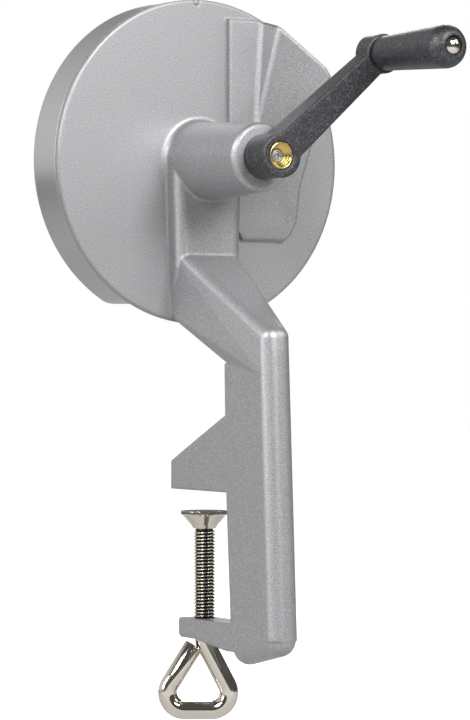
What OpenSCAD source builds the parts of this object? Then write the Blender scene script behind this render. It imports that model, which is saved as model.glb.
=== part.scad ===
// Rotary cheese grater for a table edge. Millimetres, +Z up.
// The origin is on the tabletop under the upper jaw, on the axis of the clamp screw.
// The crank is on the -Y side, the grating drum on the +Y side.

/* [Drum] */
// Radius of the round back plate and of the drum cover
drum_r = 61; // [56:0.5:68]
// Thickness of the back plate
plate_t = 2.5; // [2:0.25:4]
// Depth of the drum cover in front of the plate
cover_depth = 16.25; // [15.5:0.25:26]
// Wall of the drum cover
cover_wall = 2.2; // [1.5:0.1:3]
// Height of the drum axis above the tabletop
axis_h = 123.3; // [112:0.5:140]
// Distance of the plate's crank side in front of the clamp screw
plate_y = 3.2; // [0:0.2:7]
// Distance of the cut-off outlet edge under the drum axis
outlet_drop = 53.4; // [50:0.2:57]
// Rounding of the cover's two outlet corners
outlet_corner_r = 9.5; // [4:0.5:12]

/* [Hub] */
// Length of the hub tube behind the plate
hub_len = 44; // [38:0.5:52]
// Radius of the hub tube at the plate
hub_base_r = 15.2; // [14:0.1:18]
// Radius of the hub tube at its end
hub_end_r = 12.8; // [11:0.1:14]
// Radius of the drive shaft
shaft_r = 4; // [3.5:0.1:4.5]
// Wall of the two bearing bushes
bush_wall = 1.6; // [1.2:0.1:2.2]
// Length of the bearing bushes
bush_len = 10; // [7:0.5:14]
// Radial running clearance of everything that turns in a bore
run_gap = 0.05; // [0.03:0.01:0.08]

/* [Hopper] */
// Distance of the hopper's straight left wall from the drum axis
hopper_x = 11.5; // [11:0.1:13]
// Rise of the hopper's flat part over the plate
hopper_low = 2.8; // [2.4:0.1:3.2]
// Rise of the hopper's sloping lid over the plate, at the middle of its chamber
lid_rise = 7.15; // [7:0.05:9]
// Rise of that lid per millimetre across
lid_slope_x = 0.367; // [0.34:0.001:0.4]
// Rise of that lid per millimetre up
lid_slope_z = 0.169; // [0.15:0.001:0.2]
// Height of the hopper's flat top edge above the drum axis
hopper_top = 54.2; // [51:0.2:56]
// Height of the hopper's lower end under the drum axis
hopper_drop = 29.7; // [26:0.5:34]
// Wall of the hopper
hopper_wall = 1.9; // [1.5:0.1:2.3]

/* [Stem] */
// Width of the spine and of the clamp jaws
spine_w = 12.2; // [11:0.2:16]
// Half width of the stem where it leaves the plate's lower edge
stem_half_w = 13.1; // [11:0.1:15]
// Half width of the block under the hub tube
block_half_w = 14.9; // [13.5:0.1:16]
// Depth of that block behind the plate
block_depth = 8.1; // [6.5:0.1:10]
// Rounding of the spine's back corners
spine_corner_r = 5; // [3.5:0.25:5.5]

/* [Clamp] */
// Reach of the upper jaw in front of the clamp screw
jaw_reach = 18.5; // [15:0.5:22]
// Height of the upper jaw's nose
jaw_nose_h = 5.8; // [4.5:0.1:8]
// Clear height between the upper jaw and the lower bracket
throat_h = 48.3; // [42:0.5:60]
// Thickness of the tabletop that the clamp holds at rest
table_t = 8; // [8:0.5:26]
// Reach of the lower bracket in front of the clamp screw
bracket_reach = 8.5; // [7.5:0.1:12]
// Thickness of the lower bracket
bracket_t = 7.3; // [6:0.1:9]
// Outer radius of the screw's thread
screw_r = 4; // [3.6:0.1:4.5]
// Radius of the pressure pad
pad_r = 8.8; // [7.5:0.1:10]
// Height of the pressure pad
pad_h = 6.5; // [5.8:0.1:8]

/* [Loop handle] */
// Slope of the loop's leg that carries on from the screw
leg_angle = 26.7; // [22:0.2:30]
// Slope of the loop's other leg
free_leg_angle = 32; // [28:0.5:36]
// Height of the loop's middle line
loop_h = 25.8; // [24:0.2:32]
// Width between the loop's lower corners, along its middle line
loop_w = 31.2; // [28:0.2:36]
// Length of the loop's free leg from its corner to its cut end
free_leg_len = 27.1; // [22:0.1:27.8]
// Bending radius of the loop's lower corners
loop_bend_r = 6.5; // [5:0.25:8]
// Bending radius under the bracket
neck_bend_r = 5; // [4.5:0.25:6]
// Turn of the loop about the screw at rest
loop_turn = -32; // [-60:1:60]

/* [Crank] */
// Distance from the shaft to the grip
crank_r = 54.5; // [48:0.5:62]
// Direction of the crank at rest, above level
crank_turn = 44.2; // [0:0.2:90]
// Outward lean of the crank, from its hub to the boss under the grip
crank_lean = 8.6; // [8:0.2:12]
// Radius of the crank's hub
crank_hub_r = 8.1; // [7.5:0.1:10]
// Length of the crank's hub
crank_hub_len = 12.8; // [11:0.2:16]
// Radius of the boss under the grip
knob_boss_r = 7.3; // [6.5:0.1:9]
// Length of that boss
knob_boss_len = 8; // [7.5:0.1:9]
// Width of the arm at the hub
arm_w = 11.8; // [9:0.2:14]
// Width of the arm at the grip
arm_tip_w = 8.8; // [7:0.2:11]
// Outer radius of the brass insert in the hub
insert_r = 5.1; // [4.6:0.1:6]
// Radius of the shaft's two threaded ends
thread_r = 3; // [2.6:0.1:3.3]

/* [Grip] */
// Length of the grip
grip_len = 43.5; // [34:0.5:50]
// Radius of the grip at its root
grip_root_r = 6.35; // [5.5:0.05:7]
// Radius of the grip near its free end
grip_end_r = 7.95; // [7:0.05:9]
// Radius of the pin that the grip turns on
pin_r = 2.5; // [2:0.1:2.8]
// Radius of the pin's domed head
pin_head_r = 3.4; // [3.1:0.1:3.8]

/* [Grating disc] */
// Radius of the grating disc
disc_r = 51.5; // [48:0.25:51.75]
// Thickness of the disc's sheet
disc_t = 0.8; // [0.6:0.1:1.2]
// Height of the punched teeth
tooth_h = 1.1; // [0.8:0.1:1.2]
// Radius of a punched tooth
tooth_r = 1.9; // [1.5:0.1:2.2]
// Number of rings of teeth
tooth_rings = 5; // [3:1:6]
// Radius of the innermost ring
first_ring_r = 22; // [20:0.5:24]
// Distance between the rings
ring_step = 6.5; // [5.5:0.25:7]
// Distance between the teeth along a ring
tooth_step = 9; // [8:0.25:12]
// Radius of the carrier's boss
carrier_r = 8; // [7.5:0.25:10]
// Radius of the carrier's flange
flange_r = 15.5; // [14.5:0.5:17]
// Radius of the circle of the rivets
rivet_circle_r = 12; // [11.5:0.25:13]
// Number of the rivets
rivets = 4; // [3:1:6]
// Number of the cover screws
cover_screw_n = 3; // [2:1:3]
// Radius of a cover screw's boss
boss_r = 3.2; // [2.9:0.1:3.4]

/* [Hidden] */
$fn = 96;

// Colours of the finishes
silver_paint = [0.70, 0.70, 0.71];
satin_metal = [0.62, 0.62, 0.65];
black_plastic = [0.24, 0.24, 0.26];
nickel = [0.72, 0.69, 0.64];
steel = [0.75, 0.75, 0.76];
brass = [0.80, 0.64, 0.25];
bush_plastic = [0.90, 0.89, 0.84];

// Clearances: of fitted pieces, between faces that pass, and beyond a cut's surface
fit_gap = 0.05;
face_gap = 0.1;
over = 1;

// Places along the drum's axis, with 0 at the plate's crank side
plate_front = plate_t;
cover_front = plate_front + cover_depth;
cover_inside = cover_front - cover_wall;
spigot_t = 1.6;
spigot_h = 3.5;
washer_t = 1.2;
washer_seat = 1;
bush_flange_t = 0.8;
thrust_t = 0.5;
thrust_y = plate_front + bush_flange_t + fit_gap;
carrier_y = thrust_y + thrust_t + fit_gap;
tooth_gap = 1;
disc_y = plate_front + tooth_gap + tooth_h;
flange_t = 2;
flange_y = disc_y + disc_t;
boss_end_y = flange_y + 6.2;
nut_t = 3.2;
drive_pin_r = 1.25;
drive_pin_y = boss_end_y - drive_pin_r - 0.6;
rivet_r = 1.4;
rivet_head_r = 2.4;
rivet_head_t = 0.7;

// Places along the hub tube and the crank
bush_r = shaft_r + bush_wall;
washer_r = bush_r + 1.8;
crank_in_y = -hub_len - (washer_t - washer_seat) - fit_gap;
crank_out_y = crank_in_y - crank_hub_len;
shoulder_y = crank_in_y - 1.2;
shaft_end_y = crank_out_y + 3;
knob_out_y = crank_out_y - crank_lean;
knob_in_y = knob_out_y + knob_boss_len;
knob_insert_y = knob_in_y - 1.5;
knob_insert_r = insert_r - 1.4;
arm_back_step = 1.3;
grip_washer_t = 0.5;
grip_y = knob_out_y - grip_washer_t - face_gap;
grip_end_y = grip_y - grip_len;

// Clamp
bracket_top = -throat_h;
bracket_bottom = bracket_top - bracket_t;
pad_top = -table_t;
pad_bottom = pad_top - pad_h;
pad_rim_t = 1.2;
pad_foot_r = 4.2;
neck_r = 2.6;
ball_r = 3.3;
ball_t = 1.6;
rod_r = screw_r - 0.45;
seam = 0.05;
neck_z = bracket_bottom - 1.6;
foot_r = spine_w / 2 - 0.05;

// Places of the stem's side view, as Y and Z
spine_front_top = [-23.2, 47.4];
spine_front_table = [-24.4, 0];
spine_front_low = [-28, -57.3];
spine_back_top = [-52.6, 60.3];
spine_back_low = [-58.1, -53];

block_low_half_w = block_half_w - 1.1;

// Hopper
hopper_corner = [48.2, 36.2];
hopper_wall_low = [40.7, -9.5];
mouth_left = [28.1, 51.4];
lid_at = [27, 24];
step_foot_low = [23.2, 17.5];
step_foot_top = [25.9, 54];
step_slope = 4;
step_wall = 1.25;
window_r = disc_r - 1.5;

// Cover's screws and its index pin
cover_screw_r = 1.25;
cover_screw_y = cover_inside - 8;
index_pin_r = 0.8;
index_pin_h = 5;

// Puts its children in the drum's own frame: axis on Y, 0 at the plate's crank side
module drum_frame() {
    translate([0, plate_y, axis_h]) children();
}

// A round bar along Y, from y0 to y1
module y_bar(r, y0, y1) {
    translate([0, y1, 0]) rotate([90, 0, 0]) cylinder(r = r, h = y1 - y0);
}

// A cone along Y, with radius r0 at y0 and r1 at y1
module y_cone(r0, r1, y0, y1) {
    translate([0, y1, 0]) rotate([90, 0, 0]) cylinder(r1 = r1, r2 = r0, h = y1 - y0);
}

// An outline in X and Z, thick from y0 to y1
module y_slab(y0, y1) {
    translate([0, y1, 0]) rotate([90, 0, 0]) linear_extrude(y1 - y0) children();
}

// A side profile in Y and Z, as wide as w across X
module x_slab(w) {
    translate([-w / 2, 0, 0]) rotate([90, 0, 90]) linear_extrude(w) children();
}

// Points of an arc about c
function arc(c, r, from, to, steps = 6) =
    [for (i = [0:steps]) let (a = from + (to - from) * i / steps) c + r * [cos(a), sin(a)]];

// ---------------------------------------------------------------- hopper

// Rise over the plate of the hopper's lid, and of the step on its left: [at x = z = 0, per x, per z]
function lid_plane() =
    [lid_rise - lid_slope_x * lid_at[0] - lid_slope_z * lid_at[1], lid_slope_x, lid_slope_z];
function step_plane() =
    let (lean = (step_foot_top[0] - step_foot_low[0]) / (step_foot_top[1] - step_foot_low[1]))
    [hopper_low - step_slope * (step_foot_low[0] - lean * step_foot_low[1]), step_slope, -step_slope * lean];

// Planes that soften the step: over its top edge, and along its foot
function crest_plane() = 0.3 * step_plane() + 0.7 * lid_plane() - [0.8, 0, 0];
function foot_plane() = 0.25 * step_plane() + 0.75 * [hopper_low, 0, 0] + [0.6, 0, 0];

// Everything under such a plane, moved in by wall
module under_plane(plane, wall) {
    deep = 3 * drum_r;
    drop = wall * sqrt(1 + plane[1] * plane[1] + plane[2] * plane[2]);
    corners = [[0, -drum_r], [drum_r, -drum_r], [drum_r, drum_r], [0, drum_r]];
    top = [for (c = corners) [c[0], drop - plane[0] - plane[1] * c[0] - plane[2] * c[1], c[1]]];
    low = [for (c = corners) [c[0], deep, c[1]]];
    polyhedron(points = concat(top, low), faces = [[0, 3, 2, 1], [4, 5, 6, 7],
        [0, 1, 5, 4], [1, 2, 6, 5], [2, 3, 7, 6], [3, 0, 4, 7]]);
}

// Outline of the hopper on the plate, all walls moved in by inset
module hopper_outline(inset) {
    low = inset - hopper_drop;
    top = hopper_top - inset;
    polygon([
        [hopper_x + inset, low + 9], [hopper_x + inset + 7, low],
        [hopper_wall_low[0] - 4.7 - inset, low], [hopper_wall_low[0] - 1.8 - inset, low + 2.7],
        [hopper_wall_low[0] - inset, low + 8.5], hopper_wall_low - [inset, 0],
        hopper_corner + [-inset, -3], hopper_corner + [-1.8 - inset, 0],
        mouth_left + [0.4 * inset, -inset], mouth_left + [0.4 * inset - 1.8, 2 - inset],
        [mouth_left[0] - 4.1, top],
        [hopper_x + inset, top]]);
}

module hopper_solid() {
    sill = hopper_drop;
    intersection() {
        y_slab(-30, 0.5) hopper_outline(0);
        union() {
            x_slab(2 * drum_r) polygon([
                [1, -sill], [-0.4, -sill], [-0.7 * hopper_low, 1.2 - sill], [0.1 - hopper_low, 3.6 - sill],
                [-hopper_low, 6 - sill], [-hopper_low, drum_r], [1, drum_r]]);
            intersection() {
                under_plane(lid_plane(), 0);
                under_plane(step_plane(), 0);
                under_plane(crest_plane(), 0);
            }
            intersection() {
                under_plane(lid_plane(), 0);
                under_plane(foot_plane(), 0);
            }
        }
    }
}

// The chamber behind the plate, with its mouth at the upper right
module hopper_hollow() {
    intersection() {
        union() {
            y_slab(hopper_wall - hopper_low, over) square(2 * drum_r, center = true);
            intersection() {
                under_plane(lid_plane(), hopper_wall);
                under_plane(step_plane(), step_wall);
            }
        }
        y_slab(-30, 0) union() {
            difference() {
                hopper_outline(hopper_wall);
                circle(r = hub_base_r + 2);
                translate([-60, -60]) square([60 + block_half_w + 2, 60]);
            }
            difference() {
                polygon([[0, 0], for (a = [38, 52, 66]) 1.4 * drum_r * [cos(a), sin(a)]]);
                circle(r = drum_r - 12);
            }
        }
    }
}

// The window that lets the cheese through the plate onto the disc
module hopper_window() {
    y_slab(-0.05, plate_front + over) intersection() {
        difference() {
            hopper_outline(hopper_wall + 0.4);
            circle(r = hub_base_r + 2.4);
            translate([-60, -60]) square([60 + block_half_w + 2.4, 60]);
        }
        circle(r = window_r);
    }
}

// ---------------------------------------------------------------- body casting

// The rounded inner corner between the plate and the hub tube
module hub_fillet() {
    r = 1.8;
    rotate([90, 0, 0]) rotate_extrude() polygon(concat(
        [[bush_r + 1, -over], [hub_base_r + r, -over], [hub_base_r + r, 0]],
        arc([hub_base_r + r, r], r, 265, 185, 4), [[hub_base_r - 0.3, r + 0.3], [bush_r + 1, r + 0.3]]));
}

// The block under the hub tube, narrower towards its lower end
module stem_block() {
    corner = 4;
    hull() {
        for (s = [-1, 1]) {
            translate([s * (block_half_w - corner), corner - block_depth, 0])
                cylinder(r = corner, h = 0.1, $fn = 28);
            translate([s * (block_low_half_w - corner), corner - block_depth, -40])
                cylinder(r = corner, h = 0.1, $fn = 28);
            translate([s * (block_half_w - 1), 0.5, 0]) cylinder(r = 1, h = 0.1, $fn = 8);
            translate([s * (block_low_half_w - 1), 0.5, -40]) cylinder(r = 1, h = 0.1, $fn = 8);
            translate([s * (stem_half_w - 1.4), 0.5, -56]) cylinder(r = 1, h = 0.1, $fn = 8);
        }
    }
}

// The sloping part, from the plate's lower half back to the top of the spine
module stem_slope() {
    half = spine_w / 2;
    hull() {
        for (s = [-1, 1]) {
            translate([s * (half - 4.6), spine_back_top[0] + 5.1, 57]) sphere(r = 4.6, $fn = 24);
            translate([s * (half - 3), spine_front_top[0] - 3, 49.4]) sphere(r = 3, $fn = 16);
            translate([s * (block_low_half_w - 3), plate_y - 1.3, axis_h - 34.7]) sphere(r = 3, $fn = 16);
            translate([s * (stem_half_w - 2), plate_y, axis_h - 57]) sphere(r = 1.8, $fn = 12);
            translate([s * (half - spine_corner_r), spine_back_top[0] + spine_corner_r, 44])
                cylinder(r = spine_corner_r, h = 8, $fn = 28);
        }
    }
}

// The upright spine, leaning back a little towards its foot
module spine() {
    half = spine_w / 2;
    round_r = min(spine_corner_r, half - 0.5);
    edge_r = 1.3;
    hull() {
        for (s = [-1, 1]) {
            translate([s * (half - round_r), spine_back_top[0] + round_r, 46])
                cylinder(r = round_r, h = 6, $fn = 36);
            translate([s * (half - round_r), spine_back_low[0] + round_r, spine_back_low[1]])
                cylinder(r = round_r, h = 0.1, $fn = 36);
            for (p = [spine_front_top, spine_front_table, spine_front_low]) {
                translate([s * (half - edge_r), p[0] - edge_r, p[1]]) cylinder(r = edge_r, h = 0.1, $fn = 12);
            }
        }
    }
}

// The spine's rounded foot: a bar with ball ends, as wide as the spine
module spine_foot() {
    a = spine_front_low + [-4.1, 0];
    b = spine_back_low + [foot_r, 0];
    translate([0, a[0], a[1]]) rotate([atan2(a[0] - b[0], b[1] - a[1]), 0, 0])
        rotate_extrude() polygon(concat(arc([0, 0], foot_r, -90, 0), arc([0, norm(b - a)], foot_r, 0, 90)));
}

// The upper jaw: a wedge with a rounded nose, flat underneath
module upper_jaw() {
    half = spine_w / 2;
    nose_r = 6;
    intersection() {
        x_slab(spine_w) polygon(concat(
            [[spine_front_table[0] - 4, 0], [spine_front_top[0] - 4, 29.7], [spine_front_top[0], 27.8]],
            arc([jaw_reach - nose_r, jaw_nose_h - 1], nose_r, 63, 4),
            [[jaw_reach, 1.2], [jaw_reach - 1.2, 0]]));
        translate([0, 0, -1]) linear_extrude(40) polygon(concat(
            [[half, -32], [half, 2]],
            arc([half - nose_r, jaw_reach - nose_r], nose_r, 15, 90),
            arc([nose_r - half, jaw_reach - nose_r], nose_r, 90, 165),
            [[-half, 2], [-half, -32]]));
    }
}

// The lower bracket that carries the clamp screw
module lower_bracket() {
    inner = spine_front_low[0] - 4;
    x_slab(spine_w) polygon([
        [inner, bracket_top], [bracket_reach - 0.8, bracket_top], [bracket_reach, bracket_top - 0.8],
        [bracket_reach, bracket_bottom + 1.4], [bracket_reach - 1.4, bracket_bottom],
        [-3.9, bracket_bottom - 0.1], [-11.5, bracket_bottom - 1.3],
        [-25.6, bracket_bottom - 3], [inner, bracket_bottom - 3]]);
}

// Puts its children at each cover screw, around the drum axis
module at_bosses() {
    for (i = [0:cover_screw_n - 1]) {
        a = -90 + 360 * (i + 0.5) / cover_screw_n;
        circle_r = drum_r - cover_wall - boss_r - 4 * face_gap;
        translate([circle_r * cos(a), 0, circle_r * sin(a)]) children();
    }
}

// Puts its children at the pin that sets the cover's place
module at_index_pin() {
    translate([-1.3, 0, drum_r - cover_wall / 2 - 0.05]) children();
}

// The ring that centres the cover, left out over the outlet
module spigot() {
    outer = drum_r - cover_wall - fit_gap;
    difference() {
        y_bar(outer, plate_front - over, plate_front + spigot_h);
        y_bar(outer - spigot_t, plate_front - 2 * over, plate_front + spigot_h + over);
        translate([-drum_r, -over, 6 - outlet_drop - drum_r]) cube([2 * drum_r, 30, drum_r]);
    }
}

module body_casting() {
    end_chamfer = 1.1;
    color(silver_paint) difference() {
        union() {
            drum_frame() {
                y_bar(drum_r, 0, plate_front);
                y_cone(hub_end_r, hub_base_r, end_chamfer - hub_len, 0.5);
                y_cone(hub_end_r - end_chamfer, hub_end_r, -hub_len, end_chamfer - hub_len);
                hub_fillet();
                stem_block();
                hopper_solid();
                spigot();
                at_bosses() y_bar(boss_r, plate_front - over, cover_inside - face_gap);
            }
            stem_slope();
            spine();
            spine_foot();
            upper_jaw();
            lower_bracket();
        }
        drum_frame() {
            hopper_hollow();
            hopper_window();
            y_bar(bush_r, -hub_len - over, plate_front + over);
            y_bar(washer_r, -hub_len - over, washer_seat - hub_len);
            at_bosses() y_bar(cover_screw_r, cover_screw_y - 2, cover_front);
            at_index_pin() y_bar(index_pin_r, -over, plate_front + over);
        }
        translate([0, 0, bracket_bottom - over])
            cylinder(r = screw_r + run_gap, h = bracket_t + 2 * over);
    }
}

// ---------------------------------------------------------------- drum cover

// The corner between the outlet's level edge and the round wall, outside its rounding
module outlet_corner() {
    span = drum_r - outlet_corner_r;
    c = [sqrt(span * span - pow(outlet_drop - outlet_corner_r, 2)), outlet_corner_r - outlet_drop];
    far = drum_r + over;
    difference() {
        polygon([[c[0], -far], c, far / span * c, [far, -far]]);
        translate(c) circle(r = outlet_corner_r);
    }
}

module cover_outline() {
    difference() {
        circle(r = drum_r);
        translate([-drum_r, -2 * drum_r]) square([2 * drum_r, 2 * drum_r - outlet_drop]);
        outlet_corner();
        mirror([1, 0]) outlet_corner();
    }
}

module front_cover() {
    color(satin_metal) drum_frame() difference() {
        y_slab(plate_front, cover_front) cover_outline();
        y_bar(drum_r - cover_wall, plate_front - over, cover_inside);
        at_bosses() y_bar(cover_screw_r + 0.35, cover_inside - over, cover_front + over);
        at_index_pin()
            y_bar(index_pin_r + fit_gap, plate_front - over, plate_front + index_pin_h + 2 * face_gap);
    }
}

module cover_screws() {
    head_r = 2.9;
    head_t = 1.9;
    color(nickel) drum_frame() at_bosses() difference() {
        union() {
            y_bar(cover_screw_r, cover_screw_y, cover_front + 0.5);
            y_bar(head_r, cover_front, cover_front + head_t);
        }
        translate([0, cover_front + head_t, 0]) cube([3 * head_r, 1.6, 0.8], center = true);
    }
}

module index_pin() {
    color(steel) drum_frame() at_index_pin() y_bar(index_pin_r, -0.2, plate_front + index_pin_h);
}

// ---------------------------------------------------------------- bearings

module bush_front() {
    color(bush_plastic) drum_frame() difference() {
        union() {
            y_bar(bush_r, plate_front - bush_len, plate_front);
            y_bar(bush_r + 1.6, plate_front, plate_front + bush_flange_t);
        }
        y_bar(shaft_r + run_gap, plate_front - bush_len - over, plate_front + 2 * over);
    }
}

module bush_rear() {
    color(bush_plastic) drum_frame() difference() {
        y_bar(bush_r, washer_seat - hub_len, washer_seat - hub_len + bush_len);
        y_bar(shaft_r + run_gap, -hub_len, bush_len + 2 * over - hub_len);
    }
}

module crank_washer() {
    color(steel) drum_frame() difference() {
        y_bar(washer_r - fit_gap, washer_seat - washer_t - hub_len, washer_seat - hub_len);
        y_bar(shaft_r + run_gap, -hub_len - over, -hub_len + 2 * over);
    }
}

module thrust_washer() {
    color(steel) drum_frame() difference() {
        y_bar(bush_r + 1.4, thrust_y, thrust_y + thrust_t);
        y_bar(shaft_r + run_gap, thrust_y - over, thrust_y + thrust_t + over);
    }
}

// ---------------------------------------------------------------- rotor

module drive_shaft() {
    color(steel) drum_frame() difference() {
        union() {
            y_bar(shaft_r, shoulder_y, boss_end_y);
            y_bar(thread_r, shaft_end_y, shoulder_y + over);
            y_bar(thread_r, boss_end_y - over, boss_end_y + nut_t - 0.4);
        }
        translate([0, drive_pin_y, 0]) cylinder(r = drive_pin_r, h = 4 * shaft_r, center = true);
        y_cone(1, 0.1, shaft_end_y - 0.01, shaft_end_y + 0.9);
    }
}

module drive_pin() {
    color(steel) drum_frame() translate([0, drive_pin_y, 0])
        cylinder(r = drive_pin_r, h = 2 * carrier_r - 1.6, center = true);
}

// Puts its children at each rivet of the disc
module at_rivets() {
    for (i = [0:rivets - 1]) {
        rotate([0, 45 + 360 * i / rivets, 0]) translate([rivet_circle_r, 0, 0]) children();
    }
}

module disc_carrier() {
    slot_w = 2 * (drive_pin_r + fit_gap);
    color(nickel) drum_frame() difference() {
        union() {
            y_bar(carrier_r, carrier_y, boss_end_y);
            y_bar(flange_r, flange_y, flange_y + flange_t);
        }
        y_bar(shaft_r + run_gap, carrier_y - over, boss_end_y + over);
        translate([0, drive_pin_y, 0]) cylinder(r = slot_w / 2, h = 3 * carrier_r, center = true);
        translate([-slot_w / 2, drive_pin_y, -1.5 * carrier_r])
            cube([slot_w, boss_end_y - drive_pin_y + over, 3 * carrier_r]);
        at_rivets() y_bar(rivet_r, flange_y - over, flange_y + flange_t + over);
    }
}

module disc_rivets() {
    color(steel) drum_frame() at_rivets() {
        y_bar(rivet_r, disc_y - 0.3, flange_y + flange_t + 0.3);
        y_bar(rivet_head_r, disc_y - rivet_head_t, disc_y);
        y_bar(rivet_head_r, flange_y + flange_t, flange_y + flange_t + rivet_head_t);
    }
}

module disc_nut() {
    knurls = 18;
    color(nickel) drum_frame() difference() {
        y_slab(boss_end_y, boss_end_y + nut_t) polygon([for (i = [0:2 * knurls - 1])
            (carrier_r - 0.4 - 0.7 * (i % 2)) * [cos(180 * i / knurls), sin(180 * i / knurls)]]);
        y_bar(thread_r, boss_end_y - over, boss_end_y + nut_t + over);
    }
}

// Puts its children at each tooth, with X along the disc's radius
module at_teeth() {
    for (ring = [0:tooth_rings - 1]) {
        ring_r = first_ring_r + ring * ring_step;
        n = floor(2 * PI * ring_r / tooth_step);
        for (i = [0:n - 1]) {
            rotate(360 * (i + 0.5 * (ring % 2)) / n) translate([ring_r, 0]) children();
        }
    }
}

// The sheet with its holes, and the raised half round lip behind each hole
module grating_disc() {
    hole_r = tooth_r - 0.5;
    color(steel) drum_frame() {
        y_slab(disc_y, disc_y + disc_t) difference() {
            circle(r = disc_r);
            circle(r = carrier_r + fit_gap);
            at_teeth() circle(r = hole_r);
            for (i = [0:rivets - 1]) {
                rotate(-45 - 360 * i / rivets) translate([rivet_circle_r, 0]) circle(r = rivet_r);
            }
        }
        y_slab(disc_y - tooth_h, disc_y + 0.1) at_teeth() difference() {
            circle(r = tooth_r);
            circle(r = hole_r);
            translate([-tooth_r, -2 * tooth_r]) square([2 * tooth_r, 2 * tooth_r]);
        }
    }
}

// ---------------------------------------------------------------- crank

// Puts its children in the crank's frame: X along the arm
module crank_frame() {
    drum_frame() rotate([0, -crank_turn, 0]) children();
}

// Puts its children on the grip's axis
module knob_frame() {
    crank_frame() translate([crank_r, 0, 0]) children();
}

// The arm: its outline from the front, cut to its side profile
module lean_arm() {
    sink = 0.2;
    intersection() {
        y_slab(knob_out_y, crank_in_y) polygon([
            [0, -arm_w / 2], [crank_r, -arm_tip_w / 2], [crank_r, arm_tip_w / 2], [0, arm_w / 2]]);
        translate([0, 0, -arm_w]) linear_extrude(2 * arm_w) polygon([
            [-over, crank_out_y + sink], [crank_hub_r / 2, crank_out_y + sink],
            [crank_r - knob_boss_r / 2, knob_out_y + sink], [crank_r + over, knob_out_y + sink],
            [crank_r + over, knob_in_y - sink], [crank_r - knob_boss_r / 2, knob_in_y - sink],
            [crank_hub_r / 2, crank_in_y - arm_back_step], [-over, crank_in_y - arm_back_step]]);
    }
}

module crank_arm() {
    color(black_plastic) difference() {
        union() {
            crank_frame() y_bar(crank_hub_r, crank_out_y, crank_in_y);
            knob_frame() y_bar(knob_boss_r, knob_out_y, knob_in_y);
            crank_frame() lean_arm();
        }
        crank_frame() y_bar(shaft_r + fit_gap, shoulder_y, crank_in_y + over);
        crank_frame() y_bar(insert_r, crank_out_y - over, shoulder_y);
        knob_frame() y_bar(knob_insert_r, knob_out_y - over, knob_insert_y);
    }
}

module crank_insert() {
    color(brass) crank_frame() difference() {
        y_bar(insert_r, crank_out_y + 0.2, shoulder_y);
        y_bar(thread_r, crank_out_y - over, shoulder_y + over);
        y_cone(thread_r + 1, thread_r, crank_out_y + 0.19, crank_out_y + 1.3);
    }
}

module pin_insert() {
    color(brass) knob_frame() difference() {
        y_bar(knob_insert_r, knob_out_y, knob_insert_y);
        y_bar(pin_r, knob_out_y - over, knob_insert_y - 1);
    }
}

module grip_pin() {
    dome_r = 4.5;
    color(nickel) knob_frame() {
        y_bar(pin_r, grip_end_y + 1.2, knob_insert_y - 1);
        intersection() {
            y_bar(pin_head_r, grip_end_y - 1, grip_end_y + 1.4);
            translate([0, grip_end_y + dome_r - 0.8, 0]) sphere(r = dome_r);
        }
    }
}

module grip_washer() {
    color(steel) knob_frame() difference() {
        y_bar(grip_root_r - 1.1, knob_out_y - grip_washer_t, knob_out_y);
        y_bar(pin_r + fit_gap, knob_out_y - over, knob_out_y + over);
    }
}

module handle_grip() {
    nose_r = 5.5;
    belly = grip_len - nose_r;
    color(black_plastic) knob_frame() translate([0, grip_y, 0]) rotate([90, 0, 0]) difference() {
        rotate_extrude() polygon(concat(
            [[0, 0], [grip_root_r - 0.7, 0], [grip_root_r, 0.7]],
            arc([grip_end_r - nose_r, belly], nose_r, 0, 75),
            [[pin_head_r + 0.6, grip_len], [0, grip_len]]));
        translate([0, 0, -over]) cylinder(r = pin_r + run_gap, h = grip_len + 2 * over);
        translate([0, 0, grip_len - 1.5]) cylinder(r = pin_head_r + 0.3, h = 4);
    }
}

// ---------------------------------------------------------------- clamp screw and pad

// A bend of the rod in the XZ plane about c, from one angle to another
module rod_bend(c, r, from, to) {
    translate([c[0], 0, c[1]]) rotate([90, 0, 0]) rotate([0, 0, from])
        rotate_extrude(angle = to - from) translate([r, 0]) circle(r = rod_r - seam / 2);
}

// A straight stretch of the rod in the XZ plane, a hair past a and b into the bends
module rod_run(a, b) {
    translate([a[0], 0, a[1]]) rotate([0, atan2(b[0] - a[0], b[1] - a[1]), 0])
        translate([0, 0, -seam]) cylinder(r = rod_r, h = norm(b - a) + 2 * seam);
}

// The loop: the rod's middle line has a neck, two lower corners and a cut end
module screw_loop() {
    neck = [0, neck_z];
    leg_dir = [sin(leg_angle), -cos(leg_angle)];
    free_dir = [sin(free_leg_angle), cos(free_leg_angle)];
    right = neck + loop_h / cos(leg_angle) * leg_dir;
    left = right - [loop_w, 0];
    neck_cut = neck_bend_r * tan(leg_angle / 2);
    right_cut = loop_bend_r * tan((90 + leg_angle) / 2);
    left_cut = loop_bend_r * tan((90 + free_leg_angle) / 2);
    rod_run([0, neck_z + neck_cut], [0, bracket_bottom + 1.5]);
    rod_bend([neck_bend_r, neck_z + neck_cut], neck_bend_r, 180, 180 + leg_angle);
    rod_run(neck + neck_cut * leg_dir, right - right_cut * leg_dir);
    rod_bend(right + [-right_cut, loop_bend_r], loop_bend_r, -90, leg_angle);
    rod_run(right - [right_cut, 0], left + [left_cut, 0]);
    rod_bend(left + [left_cut, loop_bend_r], loop_bend_r, -180 - free_leg_angle, -90);
    rod_run(left + left_cut * free_dir, left + free_leg_len * free_dir);
}

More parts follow.
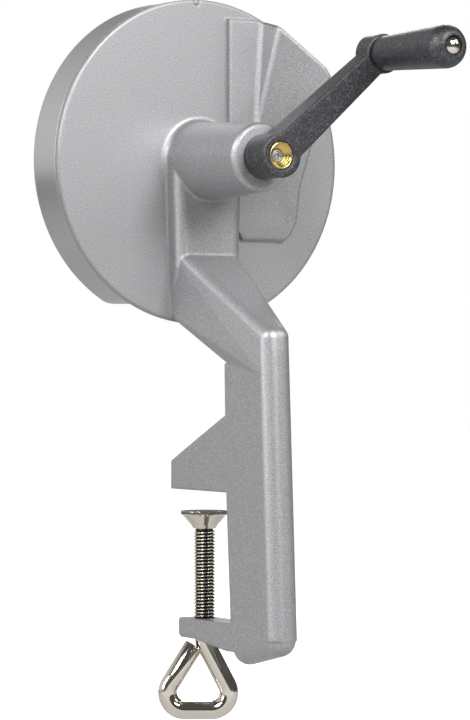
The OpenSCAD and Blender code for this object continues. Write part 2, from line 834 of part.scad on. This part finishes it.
module clamp_screw() {
    thread_z = bracket_bottom + 1;
    color(nickel) rotate([0, 0, loop_turn]) {
        screw_loop();
        translate([0, 0, thread_z]) cylinder(r = screw_r, h = pad_bottom - 0.3 - thread_z);
        translate([0, 0, pad_bottom - over]) cylinder(r = neck_r, h = pad_h - pad_rim_t);
        translate([0, 0, pad_top - pad_rim_t - ball_t - 0.3]) cylinder(r = ball_r, h = ball_t);
    }
}

module pressure_pad() {
    socket_t = ball_t + 0.1;
    color(nickel) difference() {
        translate([0, 0, pad_bottom]) rotate_extrude() polygon([
            [0, 0], [pad_foot_r, 0], [pad_foot_r + 0.8, 1.3], [pad_r - 0.7, pad_h - pad_rim_t - 0.4],
            [pad_r, pad_h - pad_rim_t], [pad_r, pad_h], [0, pad_h]]);
        translate([0, 0, pad_bottom - over]) cylinder(r = neck_r + run_gap, h = pad_h - pad_rim_t);
        translate([0, 0, pad_top - pad_rim_t - 0.25 - socket_t]) cylinder(r = ball_r + run_gap, h = socket_t);
    }
}

body_casting();
front_cover();
cover_screws();
index_pin();
bush_front();
bush_rear();
crank_washer();
drive_shaft();
thrust_washer();
grating_disc();
disc_carrier();
disc_rivets();
drive_pin();
disc_nut();
crank_arm();
crank_insert();
pin_insert();
grip_pin();
grip_washer();
handle_grip();
clamp_screw();
pressure_pad();
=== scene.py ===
import math

import bpy
import numpy as np
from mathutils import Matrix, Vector


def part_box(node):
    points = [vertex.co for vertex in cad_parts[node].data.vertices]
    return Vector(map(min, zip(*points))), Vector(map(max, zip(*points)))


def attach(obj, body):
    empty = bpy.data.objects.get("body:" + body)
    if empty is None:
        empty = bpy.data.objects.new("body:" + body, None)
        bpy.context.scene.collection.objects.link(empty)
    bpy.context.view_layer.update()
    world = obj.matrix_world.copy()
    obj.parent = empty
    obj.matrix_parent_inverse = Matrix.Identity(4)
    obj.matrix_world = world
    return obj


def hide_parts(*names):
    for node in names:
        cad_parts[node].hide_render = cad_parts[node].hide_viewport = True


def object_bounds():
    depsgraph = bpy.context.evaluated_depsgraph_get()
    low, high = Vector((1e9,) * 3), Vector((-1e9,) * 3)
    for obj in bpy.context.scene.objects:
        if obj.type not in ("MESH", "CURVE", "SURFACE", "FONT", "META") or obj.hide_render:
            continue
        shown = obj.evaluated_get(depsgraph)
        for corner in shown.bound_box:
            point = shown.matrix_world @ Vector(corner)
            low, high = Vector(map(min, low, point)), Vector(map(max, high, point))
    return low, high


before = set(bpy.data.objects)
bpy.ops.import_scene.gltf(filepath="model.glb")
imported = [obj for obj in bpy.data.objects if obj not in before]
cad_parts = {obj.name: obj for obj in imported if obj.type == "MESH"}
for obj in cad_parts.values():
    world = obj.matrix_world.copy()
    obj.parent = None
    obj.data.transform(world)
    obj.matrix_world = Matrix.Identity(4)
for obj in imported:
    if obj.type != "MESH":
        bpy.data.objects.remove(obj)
CAD_BOX = [list(corner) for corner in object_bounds()]

bl_info = {
    "name": "Table clamped cheese grater",
    "version": (1, 0, 0),
    "blender": (4, 2, 0),
    "location": "View3D > Sidebar > Grater",
    "description": "Finishes, screw thread, lights and camera for a rotary cheese grater",
    "category": "Object",
}

MM = 0.001

# Which finish each node of the frame takes
NODE_FINISH = {
    "body_casting": "silver_paint",
    "front_cover": "satin_metal",
    "cover_screws": "nickel",
    "index_pin": "steel",
    "bush_front": "bush_plastic",
    "bush_rear": "bush_plastic",
    "crank_washer": "steel",
    "drive_shaft": "turned_steel",
    "thrust_washer": "steel",
    "grating_disc": "steel",
    "disc_carrier": "nickel",
    "disc_rivets": "steel",
    "drive_pin": "steel",
    "disc_nut": "nickel",
    "crank_arm": "black_plastic",
    "crank_insert": "brass",
    "pin_insert": "brass",
    "grip_pin": "nickel",
    "grip_washer": "steel",
    "handle_grip": "black_plastic",
    "clamp_screw": "nickel",
    "pressure_pad": "nickel",
}

# The point that every light faces
LIT_POINT = Vector((0, 0, 70 * MM))

# Soft lights round the grater: direction from the +X axis and height in degrees, power in watts
LIGHTS = {
    "right": (-81, 30, 21),
    "far_right": (-37, 30, 3.5),
    "front": (-152, 30, 15),
    "left": (173, 10, 6.5),
    "back": (50, 35, 6),
}


# ---------------------------------------------------------------- properties


class GRATER_PG_screw(bpy.types.PropertyGroup):
    """Sizes of the clamp screw and the loop that its rod is bent into."""

    pitch: bpy.props.FloatProperty(
        name="Pitch", description="Distance between two turns of the thread",
        default=1.25 * MM, unit="LENGTH")
    crest_r: bpy.props.FloatProperty(
        name="Crest radius", description="Outer radius of the thread",
        default=3.98 * MM, unit="LENGTH")
    depth: bpy.props.FloatProperty(
        name="Thread depth", description="Depth of the thread's groove",
        default=0.72 * MM, unit="LENGTH")
    rod_r: bpy.props.FloatProperty(
        name="Rod radius", description="Radius of the rod that the loop is bent from",
        default=3.55 * MM, unit="LENGTH")
    loop_height: bpy.props.FloatProperty(
        name="Loop height", description="From the bend under the bracket down to the middle of the foot",
        default=25.8 * MM, unit="LENGTH")
    loop_width: bpy.props.FloatProperty(
        name="Loop width", description="Length of the foot between the corners of its two bends",
        default=32.5 * MM, unit="LENGTH")
    loop_side: bpy.props.FloatProperty(
        name="Loop side", description="Distance of the foot's first corner from the screw's axis",
        default=13.4 * MM, unit="LENGTH")
    free_leg: bpy.props.FloatProperty(
        name="Free leg", description="Length of the leg that ends in the air",
        default=28.6 * MM, unit="LENGTH")
    free_lean: bpy.props.FloatProperty(
        name="Free leg's lean", description="How far the free leg leans inwards",
        default=math.radians(32), unit="ROTATION")
    loop_turn: bpy.props.FloatProperty(
        name="Loop turn", description="How far the loop is turned about the screw's axis at rest",
        default=math.radians(-32), unit="ROTATION")


class GRATER_PG_insert(bpy.types.PropertyGroup):
    """Sizes of the crank's brass insert."""

    pitch: bpy.props.FloatProperty(
        name="Pitch", description="Distance between two turns of the internal thread",
        default=0.8 * MM, unit="LENGTH")
    depth: bpy.props.FloatProperty(
        name="Thread depth", description="Depth of the internal thread's groove",
        default=0.45 * MM, unit="LENGTH")
    length: bpy.props.FloatProperty(
        name="Thread length", description="How far the thread goes in from the front",
        default=2.52 * MM, unit="LENGTH")
    mouth_r: bpy.props.FloatProperty(
        name="Mouth radius", description="Radius of the thread at the front",
        default=4.15 * MM, unit="LENGTH")
    throat_r: bpy.props.FloatProperty(
        name="Throat radius", description="Radius of the thread at its inner end",
        default=2.35 * MM, unit="LENGTH")
    bore_r: bpy.props.FloatProperty(
        name="Bore radius", description="Radius of the bore round the shaft's end",
        default=3.02 * MM, unit="LENGTH")


class GRATER_PG_finish(bpy.types.PropertyGroup):
    """Colours of the finishes."""

    paint: bpy.props.FloatVectorProperty(
        name="Silver paint", description="Colour of the casting's grained paint",
        default=(0.272, 0.271, 0.279), size=3, subtype="COLOR")
    satin: bpy.props.FloatVectorProperty(
        name="Cover metal", description="Colour of the drum cover",
        default=(0.42, 0.42, 0.415), size=3, subtype="COLOR")
    black: bpy.props.FloatVectorProperty(
        name="Black plastic", description="Colour of the crank and its grip",
        default=(0.012, 0.012, 0.014), size=3, subtype="COLOR")
    nickel: bpy.props.FloatVectorProperty(
        name="Nickel", description="Colour of the plated screw and pad",
        default=(0.60, 0.555, 0.49), size=3, subtype="COLOR")
    brass: bpy.props.FloatVectorProperty(
        name="Brass", description="Colour of the inserts",
        default=(0.55, 0.42, 0.15), size=3, subtype="COLOR")
    steel: bpy.props.FloatVectorProperty(
        name="Steel", description="Colour of the shaft, the disc, the pins and the washers",
        default=(0.62, 0.62, 0.63), size=3, subtype="COLOR")
    bush: bpy.props.FloatVectorProperty(
        name="Bush plastic", description="Colour of the shaft's two bushes",
        default=(0.72, 0.70, 0.62), size=3, subtype="COLOR")


class GRATER_PG_stage(bpy.types.PropertyGroup):
    """Camera, lights, room and floor."""

    lens: bpy.props.FloatProperty(
        name="Lens", description="Focal length on a 36 mm high picture", default=175.0, unit="CAMERA")
    camera_at: bpy.props.FloatVectorProperty(
        name="Camera place", description="Where the camera stands",
        default=(-0.6882, -1.1220, 0.0586), size=3, subtype="TRANSLATION")
    target: bpy.props.FloatVectorProperty(
        name="Camera target", description="The point in the middle of the picture",
        default=(0.0112, -0.0038, 0.0487), size=3, subtype="TRANSLATION")
    room: bpy.props.FloatProperty(
        name="Room", description="Brightness of the dark side of the room", default=0.10)
    wall: bpy.props.FloatProperty(
        name="Wall", description="Brightness of the room's light wall, behind and to the left",
        default=0.93)
    softbox: bpy.props.FloatProperty(
        name="Softbox", description="Edge length of each light", default=0.5, unit="LENGTH")
    distance: bpy.props.FloatProperty(
        name="Light distance", description="Distance of each light from the grater",
        default=1.3, unit="LENGTH")
    floor: bpy.props.FloatVectorProperty(
        name="Floor", description="Colour of the floor, before its glow",
        default=(0.5, 0.5, 0.5), size=3, subtype="COLOR")
    floor_drop: bpy.props.FloatProperty(
        name="Floor drop",
        description="How far the floor lies under the loop at rest, so that a backed-out screw clears it",
        default=34 * MM, unit="LENGTH")
    floor_glow: bpy.props.FloatProperty(
        name="Floor glow", description="Light of its own that keeps the floor as pale as the backdrop",
        default=0.92)


# ---------------------------------------------------------------- meshes


def mesh_piece(name, vertices, faces, smooth=True):
    """An object at the origin from an array of places and a list of faces."""
    mesh = bpy.data.meshes.new(name)
    mesh.from_pydata(vertices.tolist(), [], faces)
    mesh.validate()
    mesh.polygons.foreach_set("use_smooth", [smooth] * len(mesh.polygons))
    piece = bpy.data.objects.new(name, mesh)
    bpy.context.scene.collection.objects.link(piece)
    return piece


def ring_faces(rows, columns, start=0):
    """Faces of a closed tube whose rows are rings, with a flat cap at each end."""
    j, i = np.meshgrid(np.arange(rows - 1), np.arange(columns), indexing="ij")
    a = start + j * columns + i
    b = start + j * columns + (i + 1) % columns
    quads = np.stack([a, b, b + columns, a + columns], axis=-1).reshape(-1, 4)
    first = list(range(start + columns - 1, start - 1, -1))
    last = list(range(start + (rows - 1) * columns, start + rows * columns))
    return quads.tolist() + [first, last]


def swept_tube(path, radii, columns):
    """Rings about a path that lies in one plane: place = path + r (cos t side + sin t normal),
    where normal is across the path's plane and side is normal x tangent."""
    tangent = np.gradient(path, axis=0)
    tangent /= np.linalg.norm(tangent, axis=1, keepdims=True)
    spread = path - path.mean(axis=0)
    normal = np.linalg.svd(spread, full_matrices=False)[2][2]
    side = np.cross(normal, tangent)
    t = np.linspace(0, 2 * np.pi, columns, endpoint=False)
    ring = np.cos(t)[None, :, None] * side[:, None, :] + np.sin(t)[None, :, None] * normal
    places = path[:, None, :] + np.asarray(radii)[:, None, None] * ring
    return places.reshape(-1, 3), ring_faces(len(path), columns)


def rounded_path(corners, radii, step):
    """Points along straight runs joined by arcs: each inner corner is cut back by
    r tan(turn / 2) and bridged by an arc of its radius."""
    points = [corners[0]]
    for before, corner, after, r in zip(corners, corners[1:], corners[2:], radii):
        into = (corner - before) / np.linalg.norm(corner - before)
        out = (after - corner) / np.linalg.norm(after - corner)
        turn = math.acos(float(np.clip(into @ out, -1, 1)))
        cut = r * math.tan(turn / 2)
        centre = corner - cut * into + r * (out - into * math.cos(turn)) / math.sin(turn)
        start = corner - cut * into - centre
        across = np.cross(np.cross(into, out), start)
        across *= r / np.linalg.norm(across)
        a = np.linspace(0, turn, max(6, int(r * turn / step)))[:, None]
        points.append(centre + np.cos(a) * start + np.sin(a) * across)
    points.append(corners[-1])
    return np.vstack([np.atleast_2d(p) for p in points])


def threaded_rod(z0, z1, crest_r, depth, pitch, taper, columns):
    """Rings up a screw: r = crest - depth * v(z / pitch - t / 2 pi), where v is a triangle wave
    stretched past 0 and 1 and cut off there, for flat crests and roots. The last turns fade to the
    root near both ends over taper."""
    rings_per_turn, stretch, sink = 10, 1.35, 0.15
    rows = int((z1 - z0) / pitch * rings_per_turn) + 1
    z = np.linspace(z0, z1, rows)[:, None]
    t = np.linspace(0, 2 * np.pi, columns, endpoint=False)[None, :]
    phase = (z / pitch - t / (2 * np.pi)) % 1
    wave = np.clip(np.abs(phase - 0.5) * 2 * stretch - sink, 0, 1)
    fade = np.clip(np.minimum(z - z0, z1 - z) / taper, 0, 1)
    r = crest_r - depth * (wave * fade + (1 - fade))
    places = np.stack([r * np.cos(t), r * np.sin(t), z + 0 * t], axis=-1)
    return places.reshape(-1, 3), ring_faces(rows, columns)


def turned(radii, y, t, centre):
    """A closed ring about an axis along Y: place = centre + (r cos t, y, r sin t), for each row of
    the profile, whose last row joins its first."""
    places = np.stack([centre[0] + radii * np.cos(t), y + 0 * t, centre[2] + radii * np.sin(t)], axis=-1)
    rows, columns = radii.shape
    j, i = np.meshgrid(np.arange(rows), np.arange(columns), indexing="ij")
    a, b = j * columns + i, j * columns + (i + 1) % columns
    c, d = (j + 1) % rows * columns + (i + 1) % columns, (j + 1) % rows * columns + i
    return places.reshape(-1, 3), np.stack([a, b, c, d], axis=-1).reshape(-1, 4).tolist()


def joined(*parts):
    """Several (places, faces) as one, for solids that run into each other."""
    places, faces, start = [], [], 0
    for part_places, part_faces in parts:
        places.append(part_places)
        faces += [[start + k for k in face] for face in part_faces]
        start += len(part_places)
    return np.vstack(places), faces


# ---------------------------------------------------------------- finishes


# Keeps the finishes made here apart from the frame's own materials
LOOK = "look_"


def finish(name):
    """The material of a finish made here."""
    return bpy.data.materials[LOOK + name]


def new_finish(name):
    """Makes a finish and gives its node tree and its shader."""
    material = bpy.data.materials.new(LOOK + name)
    material.use_nodes = True
    return material.node_tree, material.node_tree.nodes["Principled BSDF"]


def object_place(tree):
    """The place of a point of the piece, in the piece's own coordinates."""
    return tree.nodes.new("ShaderNodeTexCoord").outputs["Object"]


def object_noise(tree, scale, detail):
    """Noise on the piece's own coordinates."""
    noise = tree.nodes.new("ShaderNodeTexNoise")
    noise.inputs["Scale"].default_value = scale
    noise.inputs["Detail"].default_value = detail
    tree.links.new(object_place(tree), noise.inputs["Vector"])
    return noise.outputs["Fac"]


def vector_step(tree, operation, vector, other=None):
    """A vector worked out from another one and, where the operation takes it, a fixed one."""
    node = tree.nodes.new("ShaderNodeVectorMath")
    node.operation = operation
    tree.links.new(vector, node.inputs[0])
    if other is not None:
        node.inputs[1].default_value = other
    return node.outputs


def ramp(tree, value, stops):
    """A colour ramp over a value; stops are (position, colour)."""
    node = tree.nodes.new("ShaderNodeValToRGB")
    elements = node.color_ramp.elements
    for index, (position, color) in enumerate(stops):
        element = elements[index] if index < 2 else elements.new(position)
        element.position = position
        element.color = (*color, 1)
    tree.links.new(value, node.inputs["Fac"])
    return node.outputs["Color"]


def shade_of(color, factor):
    """A colour made lighter or darker by a factor."""
    return tuple(min(1.0, c * factor) for c in color)


def set_gloss(shader, metallic, roughness):
    """How metallic and how rough a surface is, the same all over."""
    shader.inputs["Metallic"].default_value = metallic
    shader.inputs["Roughness"].default_value = roughness


def soft_normal(tree, shader, bump_from, strength, distance, edge_radius):
    """Rounds the edges in the shading and adds a fine bump."""
    bevel = tree.nodes.new("ShaderNodeBevel")
    bevel.samples = 6
    bevel.inputs["Radius"].default_value = edge_radius
    bump = tree.nodes.new("ShaderNodeBump")
    bump.inputs["Strength"].default_value = strength
    bump.inputs["Distance"].default_value = distance
    tree.links.new(bump_from, bump.inputs["Height"])
    tree.links.new(bevel.outputs["Normal"], bump.inputs["Normal"])
    tree.links.new(bump.outputs["Normal"], shader.inputs["Normal"])


def grained_finish(name, color, metallic, roughness, grain, spread, flecks, bump, edge_radius):
    """Paint or plastic with a fine grain. Noise darkens its dark spots by spread, makes its light
    spots flecks times as light, and raises the bump."""
    tree, shader = new_finish(name)
    noise = object_noise(tree, grain, 2.0)
    grains = ramp(tree, noise, [
        (0.32, shade_of(color, 1 - spread)), (0.50, color), (0.68, shade_of(color, flecks))])
    tree.links.new(grains, shader.inputs["Base Color"])
    set_gloss(shader, metallic, roughness)
    soft_normal(tree, shader, noise, 0.35, bump, edge_radius)


def plated_finish(name, color, roughness, cloud, edge_radius):
    """Bare or plated metal, whose slow clouds change its roughness and tint a little."""
    tree, shader = new_finish(name)
    noise = object_noise(tree, cloud, 3.0)
    shine = ramp(tree, noise, [(0.3, (roughness * 0.8,) * 3), (0.7, (roughness * 1.25,) * 3)])
    tree.links.new(shine, shader.inputs["Roughness"])
    tint = ramp(tree, noise, [(0.3, shade_of(color, 0.97)), (0.7, shade_of(color, 1.02))])
    tree.links.new(tint, shader.inputs["Base Color"])
    shader.inputs["Metallic"].default_value = 1.0
    soft_normal(tree, shader, noise, 0.02, 0.05 * MM, edge_radius)


def thread_finish(name, color, sizes):
    """Plated thread with painted shade: the colour is kept on the crests and darkened to near black down
    in the groove, by the distance from the screw's axis, which is the object's Z axis."""
    tree, shader = new_finish(name)
    level = vector_step(tree, "MULTIPLY", object_place(tree), (1, 1, 0))
    reach = vector_step(tree, "LENGTH", level["Vector"])
    share = tree.nodes.new("ShaderNodeMapRange")
    share.inputs["From Min"].default_value = sizes.crest_r - sizes.depth
    share.inputs["From Max"].default_value = sizes.crest_r
    tree.links.new(reach["Value"], share.inputs["Value"])
    # painted shade: the groove is darkened to 0.06 of the plating's colour, the crests keep it
    tint = ramp(tree, share.outputs["Result"], [(0.25, shade_of(color, 0.06)), (0.85, color)])
    tree.links.new(tint, shader.inputs["Base Color"])
    set_gloss(shader, 1.0, 0.22)


def turned_finish(name, color, box):
    """Turned steel: fine rings about the middle of the box, along the Y axis."""
    tree, shader = new_finish(name)
    middle = [(low + high) / 2 for low, high in zip(*box)]
    about_shaft = vector_step(tree, "SUBTRACT", object_place(tree), middle)
    rings = tree.nodes.new("ShaderNodeTexWave")
    rings.wave_type = "RINGS"
    rings.rings_direction = "Y"
    rings.inputs["Scale"].default_value = 420
    tree.links.new(about_shaft["Vector"], rings.inputs["Vector"])
    tint = ramp(tree, rings.outputs["Fac"], [(0.2, shade_of(color, 0.35)), (0.8, color)])
    tree.links.new(tint, shader.inputs["Base Color"])
    set_gloss(shader, 1.0, 0.30)
    soft_normal(tree, shader, rings.outputs["Fac"], 0.5, 0.08 * MM, 0.1 * MM)


class GRATER_OT_finishes(bpy.types.Operator):
    """Make the finishes and give each node of the frame its own."""

    bl_idname = "grater.finishes"
    bl_label = "Finishes"

    def execute(self, context):
        colors = context.scene.grater_finish
        grained_finish(
            "silver_paint", colors.paint, metallic=0.60, roughness=0.42,
            grain=2200, spread=0.24, flecks=1.26, bump=0.05 * MM, edge_radius=1.8 * MM)
        grained_finish(
            "satin_metal", colors.satin, metallic=0.90, roughness=0.30,
            grain=2600, spread=0.04, flecks=1.04, bump=0.01 * MM, edge_radius=0.8 * MM)
        grained_finish(
            "black_plastic", colors.black, metallic=0.0, roughness=0.40,
            grain=1700, spread=0.50, flecks=5.0, bump=0.34 * MM, edge_radius=1.5 * MM)
        grained_finish(
            "bush_plastic", colors.bush, metallic=0.0, roughness=0.45,
            grain=1500, spread=0.02, flecks=1.02, bump=0.01 * MM, edge_radius=0.2 * MM)
        plated_finish("nickel", colors.nickel, roughness=0.10, cloud=160, edge_radius=0.25 * MM)
        plated_finish("steel", colors.steel, roughness=0.24, cloud=200, edge_radius=0.15 * MM)
        plated_finish("brass", colors.brass, roughness=0.24, cloud=220, edge_radius=0.2 * MM)
        thread_finish("nickel_thread", colors.nickel, context.scene.grater_screw)
        turned_finish("turned_steel", colors.steel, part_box("drive_shaft"))
        for node, name in NODE_FINISH.items():
            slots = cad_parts[node].data.materials
            slots.clear()
            slots.append(finish(name))
        return {"FINISHED"}


# ---------------------------------------------------------------- pieces


def add_piece(name, shape, body, finish_name):
    """A new piece of a shape (places, faces), with its finish, that rides on a body of the frame."""
    piece = mesh_piece(name, *shape)
    piece.data.materials.append(finish(finish_name))
    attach(piece, body)
    return piece


def loop_line(sizes, foot_z, shank):
    """Middle line of the bent rod in the XZ plane: straight down the shank to the bend under the
    bracket, out along the sloping leg, back along the foot and in along the free leg."""
    bend_z = foot_z + sizes.loop_height
    right, left = sizes.loop_side, sizes.loop_side - sizes.loop_width
    end_x = left + sizes.free_leg * math.sin(sizes.free_lean)
    end_z = foot_z + sizes.free_leg * math.cos(sizes.free_lean)
    corners = np.array([
        [0, 0, bend_z + shank], [0, 0, bend_z], [right, 0, foot_z], [left, 0, foot_z], [end_x, 0, end_z]])
    bend_radii = [5 * MM, 6.5 * MM, 6.5 * MM]
    step = 0.5 * MM
    return rounded_path(corners, bend_radii, step)


def bent_rod(sizes, foot_z, shank):
    """The loop: the rod swept along its middle line, with a small chamfer at the cut end, turned
    about the Z axis."""
    clearance, chamfer = 0.01 * MM, 0.35 * MM
    path = loop_line(sizes, foot_z, shank)
    end, before = path[-1], path[-2]
    chamfer_start = end - chamfer * (end - before) / np.linalg.norm(end - before)
    radii = np.append(np.full(len(path), sizes.rod_r - clearance), sizes.rod_r - chamfer)
    places, faces = swept_tube(np.vstack([path[:-1], chamfer_start, end]), radii, 56)
    c, s = math.cos(sizes.loop_turn), math.sin(sizes.loop_turn)
    about_z = np.array([[c, -s, 0], [s, c, 0], [0, 0, 1]])
    return places @ about_z.T, faces


class GRATER_OT_clamp_screw(bpy.types.Operator):
    """The clamp screw with its helical thread, its bent loop and its neck in the pad."""

    bl_idname = "grater.clamp_screw"
    bl_label = "Clamp screw"

    def execute(self, context):
        sizes = context.scene.grater_screw
        # The rod goes up into the thread by its shank, and the thread starts a run-out over the bend
        shank, run_out = 7.2 * MM, 2.6 * MM
        foot_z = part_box("clamp_screw")[0][2] + sizes.rod_r
        loop = bent_rod(sizes, foot_z, shank)
        thread_z = foot_z + sizes.loop_height + run_out
        # The thread ends just under the pad, and the neck joins it to the inside of the pad
        pad_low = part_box("pressure_pad")[0][2]
        end_gap, neck_r, neck_below, neck_above = 0.3 * MM, 2.6 * MM, 1.0 * MM, 3.5 * MM
        neck = threaded_rod(
            pad_low - neck_below, pad_low + neck_above, neck_r, 0.0, sizes.pitch, 0.1 * MM, 32)
        thread = threaded_rod(
            thread_z, pad_low - end_gap, sizes.crest_r, sizes.depth, sizes.pitch, 0.9 * MM, 64)
        rod = add_piece("screw_and_loop", joined(loop, neck), "screw", "nickel")
        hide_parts("clamp_screw")
        add_piece("screw_thread", thread, "screw", "nickel_thread")
        return {"FINISHED"}


def insert_rings(sizes, low, high, columns):
    """The insert as a turned ring: from the back along the outside, over the lip, in along the
    funnel, whose radius is r + depth * w(y / pitch - t / 2 pi) with w a triangle wave, and back
    along the plain bore. The funnel's first ring and its last two have no thread."""
    clearance, edge, lip = 0.02 * MM, 0.25 * MM, 0.2 * MM
    outer = (high[0] - low[0]) / 2 - clearance
    front, back = low[1], high[1]
    y = np.linspace(front + lip, front + lip + sizes.length, 40)
    funnel = np.stack([np.linspace(sizes.mouth_r, sizes.throat_r, len(y)), y], axis=1)
    outside = np.array([
        [outer, back], [outer, front + edge], [outer - edge, front], [sizes.mouth_r + lip, front]])
    bore = [[sizes.bore_r, y[-1] + clearance], [sizes.bore_r, back]]
    profile = np.vstack([outside, funnel, bore])
    in_thread = np.zeros((len(profile), 1))
    in_thread[len(outside) + 1:len(outside) + len(funnel) - 2] = 1
    t = np.linspace(0, 2 * np.pi, columns, endpoint=False)[None, :]
    wave = np.abs((profile[:, 1:] / sizes.pitch - t / (2 * np.pi)) % 1 - 0.5) * 2
    radii = profile[:, :1] + sizes.depth * wave * in_thread
    return turned(radii, profile[:, 1:], t, (low + high) / 2)


class GRATER_OT_crank_insert(bpy.types.Operator):
    """The crank's brass insert, with an internal thread in front of the shaft's end."""

    bl_idname = "grater.crank_insert"
    bl_label = "Crank insert"

    def execute(self, context):
        rings = insert_rings(context.scene.grater_insert, *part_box("crank_insert"), 72)
        insert = add_piece("threaded_insert", rings, "rotor", "brass")
        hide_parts("crank_insert")
        return {"FINISHED"}


# ---------------------------------------------------------------- stage


def aim(thing, at, target):
    """Puts a light or the camera at a place and turns it to the target."""
    thing.location = at
    thing.rotation_euler = (Vector(target) - Vector(at)).to_track_quat("-Z", "Y").to_euler()


def soft_light(name, at, target, size, power):
    """A square area light."""
    data = bpy.data.lights.new(name, "AREA")
    data.shape = "SQUARE"
    data.size = size
    data.energy = power
    light = bpy.data.objects.new(name, data)
    bpy.context.scene.collection.objects.link(light)
    aim(light, at, target)


def studio_world(room, wall):
    """A room whose wall behind and to the left is light and whose other sides are dark, and that
    the camera sees as plain white."""
    world = bpy.data.worlds.new("studio")
    bpy.context.scene.world = world
    world.use_nodes = True
    tree = world.node_tree
    toward = tree.nodes.new("ShaderNodeTexCoord").outputs["Generated"]
    facing = vector_step(tree, "DOT_PRODUCT", toward, (-0.53, 0.85, 0.0))
    shade = ramp(tree, facing["Value"], [(0.42, (room,) * 3), (0.95, (wall,) * 3)])
    path = tree.nodes.new("ShaderNodeLightPath")
    seen = tree.nodes.new("ShaderNodeMixRGB")
    seen.inputs["Color2"].default_value = (1, 1, 1, 1)
    tree.links.new(path.outputs["Is Camera Ray"], seen.inputs["Fac"])
    tree.links.new(shade, seen.inputs["Color1"])
    tree.links.new(seen.outputs["Color"], tree.nodes["Background"].inputs["Color"])


def pale_floor(z, color, glow):
    """A level floor whose glow only the camera sees, so that it adds no light to the grater."""
    reach = 4.0
    corners = np.array([[-reach, -reach, z], [reach, -reach, z], [reach, reach, z], [-reach, reach, z]])
    floor = mesh_piece("floor", corners, [[0, 1, 2, 3]], False)
    tree, shader = new_finish("floor_paint")
    shader.inputs["Base Color"].default_value = (*color, 1)
    shader.inputs["Roughness"].default_value = 0.9
    shader.inputs["Emission Color"].default_value = (glow, glow, glow, 1)
    path = tree.nodes.new("ShaderNodeLightPath")
    tree.links.new(path.outputs["Is Camera Ray"], shader.inputs["Emission Strength"])
    floor.data.materials.append(finish("floor_paint"))


def add_camera(lens, at, target):
    """The scene's camera, with its focal length given for a picture 36 mm high."""
    data = bpy.data.cameras.new("camera")
    data.sensor_fit = "VERTICAL"
    data.sensor_height = 36
    data.lens = lens
    data.clip_start, data.clip_end = 0.05, 50
    camera = bpy.data.objects.new("camera", data)
    bpy.context.scene.collection.objects.link(camera)
    aim(camera, at, target)
    bpy.context.scene.camera = camera


class GRATER_OT_stage(bpy.types.Operator):
    """The floor, the room, the lights and the camera."""

    bl_idname = "grater.stage"
    bl_label = "Stage"

    def execute(self, context):
        stage = context.scene.grater_stage
        pale_floor(CAD_BOX[0][2] - stage.floor_drop, stage.floor, stage.floor_glow)
        studio_world(stage.room, stage.wall)
        for name, (turn, rise, power) in LIGHTS.items():
            a, b = math.radians(turn), math.radians(rise)
            toward = Vector((math.cos(b) * math.cos(a), math.cos(b) * math.sin(a), math.sin(b)))
            soft_light(name, LIT_POINT + stage.distance * toward, LIT_POINT, stage.softbox, power)
        add_camera(stage.lens, stage.camera_at, stage.target)
        context.scene.view_settings.view_transform = "Standard"
        return {"FINISHED"}


class GRATER_PT_panel(bpy.types.Panel):
    """Lists the grater's operators and sizes in the sidebar."""

    bl_idname = "GRATER_PT_panel"
    bl_label = "Grater"
    bl_space_type = "VIEW_3D"
    bl_region_type = "UI"
    bl_category = "Grater"

    def draw(self, context):
        for operator in OPERATORS:
            self.layout.operator(operator.bl_idname)
        for group in GROUPS:
            sizes = getattr(context.scene, group)
            for name in sizes.__annotations__:
                self.layout.prop(sizes, name)


GROUPS = {
    "grater_screw": GRATER_PG_screw,
    "grater_insert": GRATER_PG_insert,
    "grater_finish": GRATER_PG_finish,
    "grater_stage": GRATER_PG_stage,
}
OPERATORS = [GRATER_OT_finishes, GRATER_OT_clamp_screw, GRATER_OT_crank_insert, GRATER_OT_stage]


def register():
    for cls in [*GROUPS.values(), *OPERATORS, GRATER_PT_panel]:
        bpy.utils.register_class(cls)
    for name, group in GROUPS.items():
        setattr(bpy.types.Scene, name, bpy.props.PointerProperty(type=group))


def unregister():
    for name in GROUPS:
        delattr(bpy.types.Scene, name)
    for cls in reversed([*GROUPS.values(), *OPERATORS, GRATER_PT_panel]):
        bpy.utils.unregister_class(cls)


def main():
    register()
    bpy.ops.grater.finishes()
    bpy.ops.grater.clamp_screw()
    bpy.ops.grater.crank_insert()
    bpy.ops.grater.stage()


if __name__ == "__main__":
    main()
